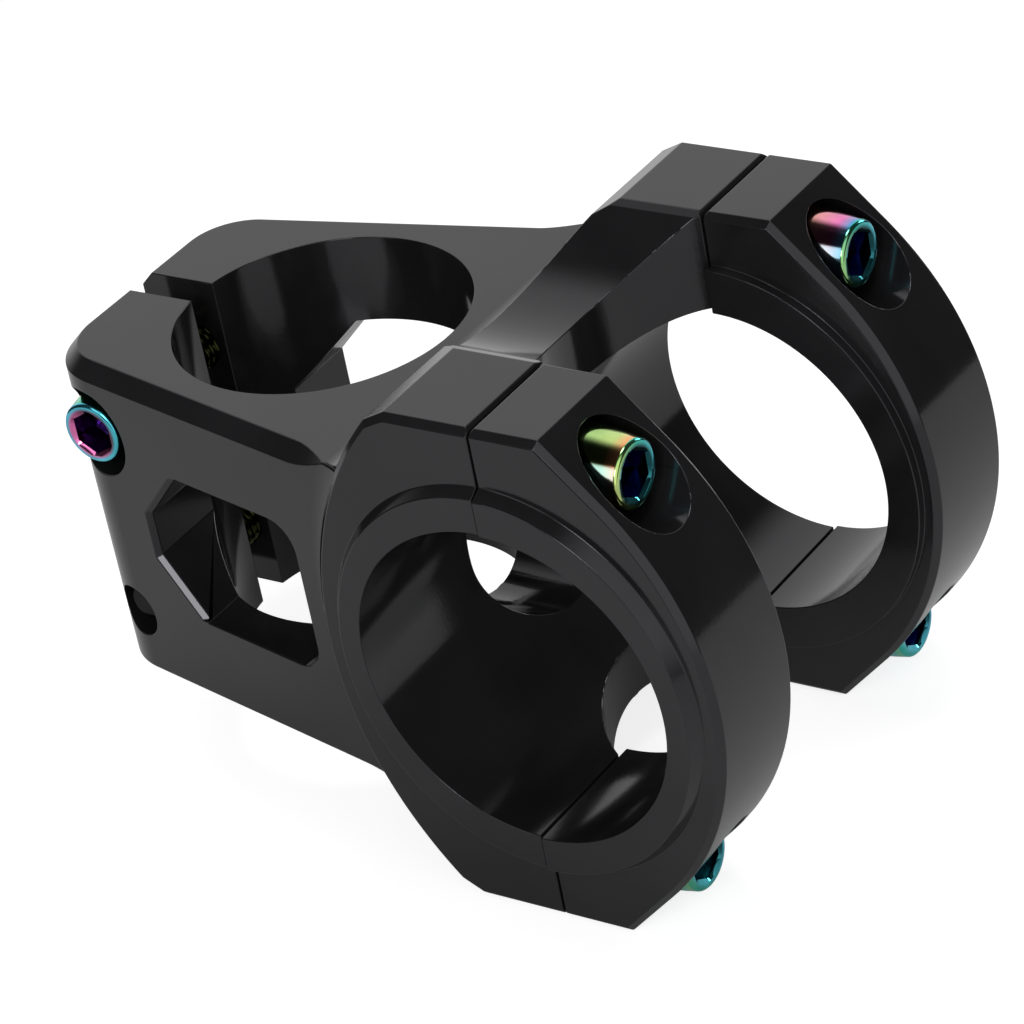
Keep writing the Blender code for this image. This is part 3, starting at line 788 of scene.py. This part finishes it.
def anodisedMaterial():
    # near black with faint clouds in shade and gloss, and a fine grain
    a = anodised
    material, tree, shader = newMaterial("satinBlackAnodise")
    links = tree.links
    where = node(tree, "ShaderNodeTexCoord").outputs["Object"]
    cloud = noiseOf(tree, where, *a["cloud"])
    stops = [(place, [c * share for c in a["colour"]]) for place, share in a["shade"]]
    links.new(rampOf(tree, stops, cloud), shader.inputs["Base Color"])
    links.new(spanOf(tree, cloud, (0, 1), a["rough"]), shader.inputs["Roughness"])
    bump = node(tree, "ShaderNodeBump")
    bump.inputs["Strength"].default_value = a["bump"]
    bump.inputs["Distance"].default_value = a["bumpDepth"]
    links.new(noiseOf(tree, where, *a["grain"]), bump.inputs["Height"])
    links.new(bump.outputs["Normal"], shader.inputs["Normal"])
    shader.inputs["Metallic"].default_value = 0.0
    shader.inputs["IOR"].default_value = a["ior"]
    shader.inputs["Specular Tint"].default_value = a["sheen"]
    return material


coat = {"roughness": 0.13, "drift": (420.0, 2.0), "driftFrom": (0.3, 0.7), "driftTo": (0.82, 1.15)}


def coatMaterial():
    # the coating's colour from the mesh, with its painted shade and painted reflections, gently clouded, as
    # a polished metal
    material, tree, shader = newMaterial("rainbowCoat")
    links = tree.links
    tone = node(tree, "ShaderNodeAttribute", attribute_name="coatToneAndPaintedLight")
    where = node(tree, "ShaderNodeTexCoord").outputs["Object"]
    drift = noiseOf(tree, where, *coat["drift"])
    scale = node(tree, "ShaderNodeVectorMath", operation="SCALE")
    links.new(tone.outputs["Color"], scale.inputs[0])
    links.new(spanOf(tree, drift, coat["driftFrom"], coat["driftTo"]), scale.inputs["Scale"])
    links.new(scale.outputs["Vector"], shader.inputs["Base Color"])
    shader.inputs["Metallic"].default_value = 1.0
    shader.inputs["Roughness"].default_value = coat["roughness"]
    return material


washerLook = {
    "cloud": (900.0, 2.0),
    "stops": [(0.3, (0.03, 0.03, 0.034)), (0.8, (0.07, 0.07, 0.075))],
    "roughness": 0.35,
}


def washerMaterial():
    # dark steel, clouded between two greys
    material, tree, shader = newMaterial("blackWasherSteel")
    where = node(tree, "ShaderNodeTexCoord").outputs["Object"]
    shade = rampOf(tree, washerLook["stops"], noiseOf(tree, where, *washerLook["cloud"]))
    tree.links.new(shade, shader.inputs["Base Color"])
    shader.inputs["Metallic"].default_value = 1.0
    shader.inputs["Roughness"].default_value = washerLook["roughness"]
    return material


def settle(piece, body, nodeName, material):
    # a finished piece gets its material, the body it moves with and the node it stands in for
    piece.data.materials.clear()
    piece.data.materials.append(material)
    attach(piece, body)
    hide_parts(nodeName)


black = anodisedMaterial()
rainbow = coatMaterial()
washerSteel = washerMaterial()
bodyPiece = makeBody()
softenEdges(bodyPiece)
settle(bodyPiece, "stem", "stem_body", black)
print("stage: body made,", len(bodyPiece.data.polygons), "faces")
for side, word in ((-1, "right"), (1, "left")):
    cap = makeCap(word + "FaceCap", side)
    softenEdges(cap)
    settle(cap, word + "_cap", "face_cap_" + word, black)
print("stage: face caps made")


def screwPlaces():
    # name, seat, outward direction and shank length of every screw
    k = screwSize
    for name, side, level in capScrews:
        seat = (capSeat, side * midY, level * k["rise"])
        yield name, seat, (1, 0, 0), capSeat - ringSize["barX"] - k["tipX"]
    for name, side, level in pinchScrews:
        seat = (k["pinchX"], side * pinchSeat, level * k["pinchRise"] - k["pinchDrop"])
        yield name, seat, (0, side, 0), pinchSeat + k["pinchTipY"]


for name, seat, outward, shank in screwPlaces():
    screw = makeScrew(name + "Screw", seat, outward, shank, dict(zip(filmKeys, filmOf[name])))
    settle(screw, name + "_bolt", name + "_bolt", rainbow)
    washer = makeWasher(name + "Washer", seat, outward)
    settle(washer, name + "_washer", name + "_washer", washerSteel)
print("stage: screws and washers made")

# lengths in millimetres, angles in degrees, focal length in pixels
studio = {
    "azimuth": 39.205,
    "elevation": 31.063,
    "roll": -11.476,
    "distance": 404.39,
    "focal": 4479.85,
    "pixels": 1024,
    "sensor": 36.0,
    "target": (23.763, -7.62, 4.511),
    "backdropTo": (-0.62, 0.70, 0.36),
    "fillTo": (0.70, -0.60, 0.39),
    "lobe": (0.64, 0.88),
    "lobeGlow": (0.04, 0.92),
    "skySeen": 1.0,
    "floorRadius": 200.0,
    "floorGap": 0.05,
    # the floor's glow in reflections is least near shadeAt: a painted shadow under the stem, fading out
    # across shadeReach
    "floorGlow": (0.05, 0.2),
    "floorSeen": 0.80,
    "floorPaint": 0.55,
    "shadeAt": (12.0, -16.0),
    "shadeReach": (22.0, 58.0),
}
# place, aim, width and height, watts
softboxes = {
    "overheadSoftbox": ((60, 60, 480), (20, 0, 0), (160, 160), 0.5),
    "frontSoftbox": ((118, -451, 248), (0, -15, 0), (150, 150), 0.5),
    "sideSoftbox": ((-106, -400, 190), (46, 0, 21), (160, 340), 0.2),
    "edgeSoftbox": ((183, 390, 75), (35, 0, 20), (120, 120), 0.25),
}


def makeCamera():
    # the photograph's direction, roll and distance; focal length turned from pixels to millimetres
    az, el, roll = (math.radians(studio[word]) for word in ("azimuth", "elevation", "roll"))
    back = Vector((math.sin(az) * math.cos(el), -math.cos(az) * math.cos(el), math.sin(el)))
    right = Vector((math.cos(az), math.sin(az), 0))
    up = back.cross(right)
    x = math.cos(roll) * right + math.sin(roll) * up
    y = -math.sin(roll) * right + math.cos(roll) * up
    data = bpy.data.cameras.new("photoCamera")
    data.sensor_width = studio["sensor"]
    data.lens = studio["focal"] * studio["sensor"] / studio["pixels"]
    data.clip_start, data.clip_end = 0.01, 50.0
    camera = bpy.data.objects.new("photoCamera", data)
    place = (Vector(studio["target"]) + back * studio["distance"]) * mm
    turn = Matrix((x, y, back)).transposed().to_4x4()
    camera.matrix_world = Matrix.Translation(place) @ turn
    scene.collection.objects.link(camera)
    scene.camera = camera


def makeFloor():
    # a round table top under the stem; seen straight on it glows to white, in reflections less, and least
    # below the stem, where its glow carries a painted shadow
    count = steps["floor"]
    t = evenAngles(count)
    ring = np.stack([np.cos(t), np.sin(t)], 1) * studio["floorRadius"] + [ringSize["barX"] / 2, 0]
    level = -ringSize["half"] - studio["floorGap"]
    mesh = bpy.data.meshes.new("studioFloor")
    mesh.from_pydata((np.c_[ring, np.full(count, level)] * mm).tolist(), [], [list(range(count))])
    floor = bpy.data.objects.new("studioFloor", mesh)
    scene.collection.objects.link(floor)
    material, tree, shader = newMaterial("paleFloor")
    links = tree.links
    paint = node(tree, "ShaderNodeBsdfDiffuse")
    paint.inputs["Color"].default_value = (studio["floorPaint"],) * 3 + (1,)
    where = node(tree, "ShaderNodeTexCoord").outputs["Object"]
    away = node(tree, "ShaderNodeVectorMath", operation="DISTANCE")
    away.inputs[1].default_value = Vector((*studio["shadeAt"], level)) * mm
    links.new(where, away.inputs[0])
    reach = [r * mm for r in studio["shadeReach"]]
    # painted shadow: the glow seen in reflections falls off towards the middle under the stem
    paintedShadowGlow = spanOf(tree, away.outputs["Value"], reach, studio["floorGlow"], "SMOOTHSTEP")
    glow = node(tree, "ShaderNodeEmission")
    links.new(seenMix(tree, paintedShadowGlow, studio["floorSeen"]), glow.inputs["Strength"])
    add = node(tree, "ShaderNodeAddShader")
    links.new(paint.outputs["BSDF"], add.inputs[0])
    links.new(glow.outputs["Emission"], add.inputs[1])
    links.new(add.outputs["Shader"], tree.nodes["Material Output"].inputs["Surface"])
    tree.nodes.remove(shader)
    mesh.materials.append(material)


def makeWorld():
    # a bright backdrop on the far left, its like on the near right, dark elsewhere; the camera sees white
    world = bpy.data.worlds.new("studioWorld")
    scene.world = world
    world.use_nodes = True
    tree = world.node_tree
    out = tree.nodes["Background"]
    out.inputs["Color"].default_value = (1, 1, 1, 1)
    way = node(tree, "ShaderNodeTexCoord").outputs["Generated"]
    nearest = node(tree, "ShaderNodeMath", operation="MAXIMUM")
    for slot, towards in enumerate((studio["backdropTo"], studio["fillTo"])):
        facing = node(tree, "ShaderNodeVectorMath", operation="DOT_PRODUCT")
        facing.inputs[1].default_value = towards
        tree.links.new(way, facing.inputs[0])
        tree.links.new(facing.outputs["Value"], nearest.inputs[slot])
    glow = spanOf(tree, nearest.outputs["Value"], studio["lobe"], studio["lobeGlow"], "SMOOTHSTEP")
    tree.links.new(seenMix(tree, glow, studio["skySeen"]), out.inputs["Strength"])


def makeSoftbox(name, place, aim, size, watts):
    # an upright rectangle of light that faces its aim
    data = bpy.data.lights.new(name, "AREA")
    data.shape = "RECTANGLE"
    data.size, data.size_y = size[0] * mm, size[1] * mm
    data.energy = watts
    lamp = bpy.data.objects.new(name, data)
    lamp.location = Vector(place) * mm
    lamp.rotation_mode = "QUATERNION"
    lamp.rotation_quaternion = (Vector(aim) - Vector(place)).to_track_quat("-Z", "Y")
    scene.collection.objects.link(lamp)


makeCamera()
makeFloor()
makeWorld()
for name, settings in softboxes.items():
    makeSoftbox(name, *settings)
print("stage: camera, floor and light made")
